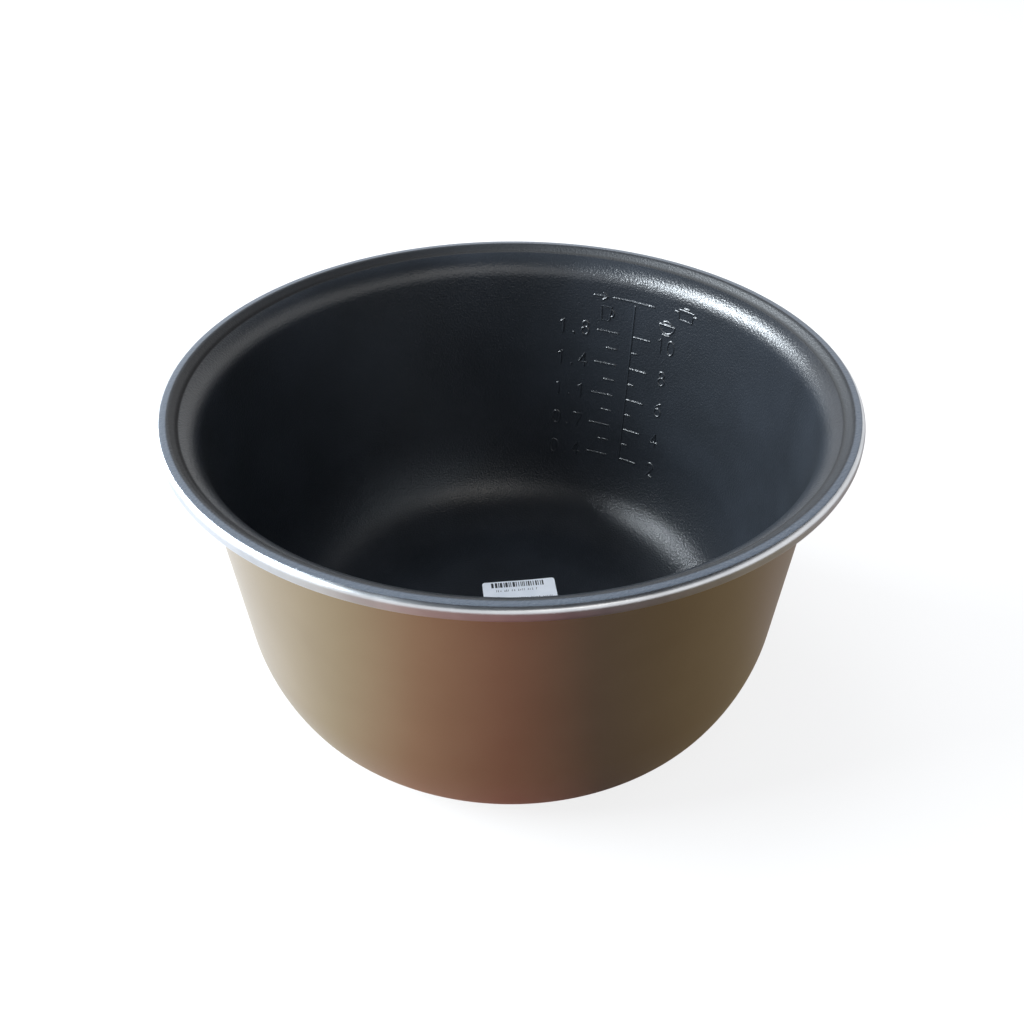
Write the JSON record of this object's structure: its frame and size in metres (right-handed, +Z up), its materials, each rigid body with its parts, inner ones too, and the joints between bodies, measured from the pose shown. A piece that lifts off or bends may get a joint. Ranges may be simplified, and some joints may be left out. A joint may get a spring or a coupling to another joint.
{
  "type": "rice cooker inner pot",
  "caption": "Removable round inner pot of a rice cooker: drawn aluminium bowl with rolled rim, charcoal nonstick lining with raised level marks, gold outside and a label on its floor.",
  "frame": {"origin": "on the pot's axis, at the surface that its base ring stands on", "axes": "+Z up along the pot's axis, towards its mouth; the level marks are on the wall at +Y turned 30 degrees towards +X"},
  "size_m": [0.256, 0.256, 0.136],
  "materials": {
    "bare_aluminium": "turned bare metal",
    "nonstick_lining": "satin charcoal nonstick coat with fine speckle",
    "gold_coat": "satin champagne gold metallic coat",
    "black_base_coat": "matt black heat-absorbing coat",
    "label_adhesive": "clear adhesive film",
    "label_paper": "smooth label paper",
    "label_ink": "thermal print"
  },
  "bodies": {
    "root": {"pot_shell": "bare_aluminium", "nonstick_lining": "nonstick_lining", "outer_coat": "gold_coat", "base_coat": "black_base_coat", "label_adhesive": "label_adhesive", "label_paper": "label_paper", "label_print": "label_ink"}
  },
  "joints": []
}
